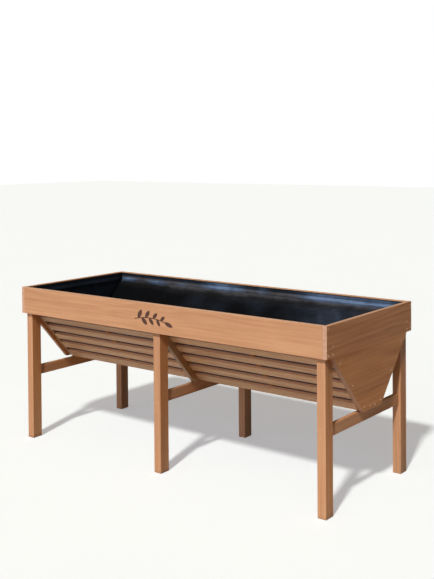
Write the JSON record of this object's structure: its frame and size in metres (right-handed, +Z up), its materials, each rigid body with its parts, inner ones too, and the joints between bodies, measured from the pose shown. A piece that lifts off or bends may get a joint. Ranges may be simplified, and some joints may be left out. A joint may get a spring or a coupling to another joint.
{
  "type": "raised planter on legs",
  "caption": "Long V-shaped slatted wooden trough with an open fabric-lined top, carried at working height on rectangular legs joined by level cross braces.",
  "frame": {"origin": "on the ground, in the middle of the footprint", "axes": "+X along the length, +Y from the front board to the back board, +Z up"},
  "size_m": [1.8032, 0.7632, 0.78],
  "materials": {
    "board_wood": "satin, golden-brown stain over fine straight grain",
    "panel_wood": "satin, golden-brown stain over fine straight grain",
    "leg_wood": "satin, golden-brown stain",
    "slat_wood": "satin, golden-brown stain",
    "inner_wood": "plain sawn, stained",
    "liner_fabric": "black non-woven sheet with a slight sheen",
    "screw_metal": "tan coated screw heads",
    "emblem_mark": "matt, dark brown mark in the shape of a sprig"
  },
  "bodies": {
    "root": {"back_batten_left": "inner_wood", "back_batten_right": "inner_wood", "back_board": "board_wood", "back_board_screws": "screw_metal", "back_centre_rib": "slat_wood", "back_leg_centre": "leg_wood", "back_leg_left": "leg_wood", "back_leg_right": "leg_wood", "back_slat_left_1": "slat_wood", "back_slat_left_2": "slat_wood", "back_slat_left_3": "slat_wood", "back_slat_left_4": "slat_wood", "back_slat_left_5": "slat_wood", "back_slat_left_6": "slat_wood", "back_slat_right_1": "slat_wood", "back_slat_right_2": "slat_wood", "back_slat_right_3": "slat_wood", "back_slat_right_4": "slat_wood", "back_slat_right_5": "slat_wood", "back_slat_right_6": "slat_wood", "back_stile_left": "slat_wood", "back_stile_right": "slat_wood", "brace_screws": "screw_metal", "cross_brace_centre": "leg_wood", "cross_brace_left": "leg_wood", "cross_brace_right": "leg_wood", "emblem": "emblem_mark", "end_panel_left": "panel_wood", "end_panel_right": "panel_wood", "end_screws_left": "screw_metal", "end_screws_right": "screw_metal", "floor_batten_left": "inner_wood", "floor_batten_right": "inner_wood", "floor_cleat_left": "inner_wood", "floor_cleat_right": "inner_wood", "floor_slat_back": "slat_wood", "floor_slat_front": "slat_wood", "front_batten_left": "inner_wood", "front_batten_right": "inner_wood", "front_board": "board_wood", "front_board_screws": "screw_metal", "front_centre_rib": "slat_wood", "front_leg_centre": "leg_wood", "front_leg_left": "leg_wood", "front_leg_right": "leg_wood", "front_slat_left_1": "slat_wood", "front_slat_left_2": "slat_wood", "front_slat_left_3": "slat_wood", "front_slat_left_4": "slat_wood", "front_slat_left_5": "slat_wood", "front_slat_left_6": "slat_wood", "front_slat_right_1": "slat_wood", "front_slat_right_2": "slat_wood", "front_slat_right_3": "slat_wood", "front_slat_right_4": "slat_wood", "front_slat_right_5": "slat_wood", "front_slat_right_6": "slat_wood", "front_stile_left": "slat_wood", "front_stile_right": "slat_wood", "liner": "liner_fabric"}
  },
  "joints": []
}
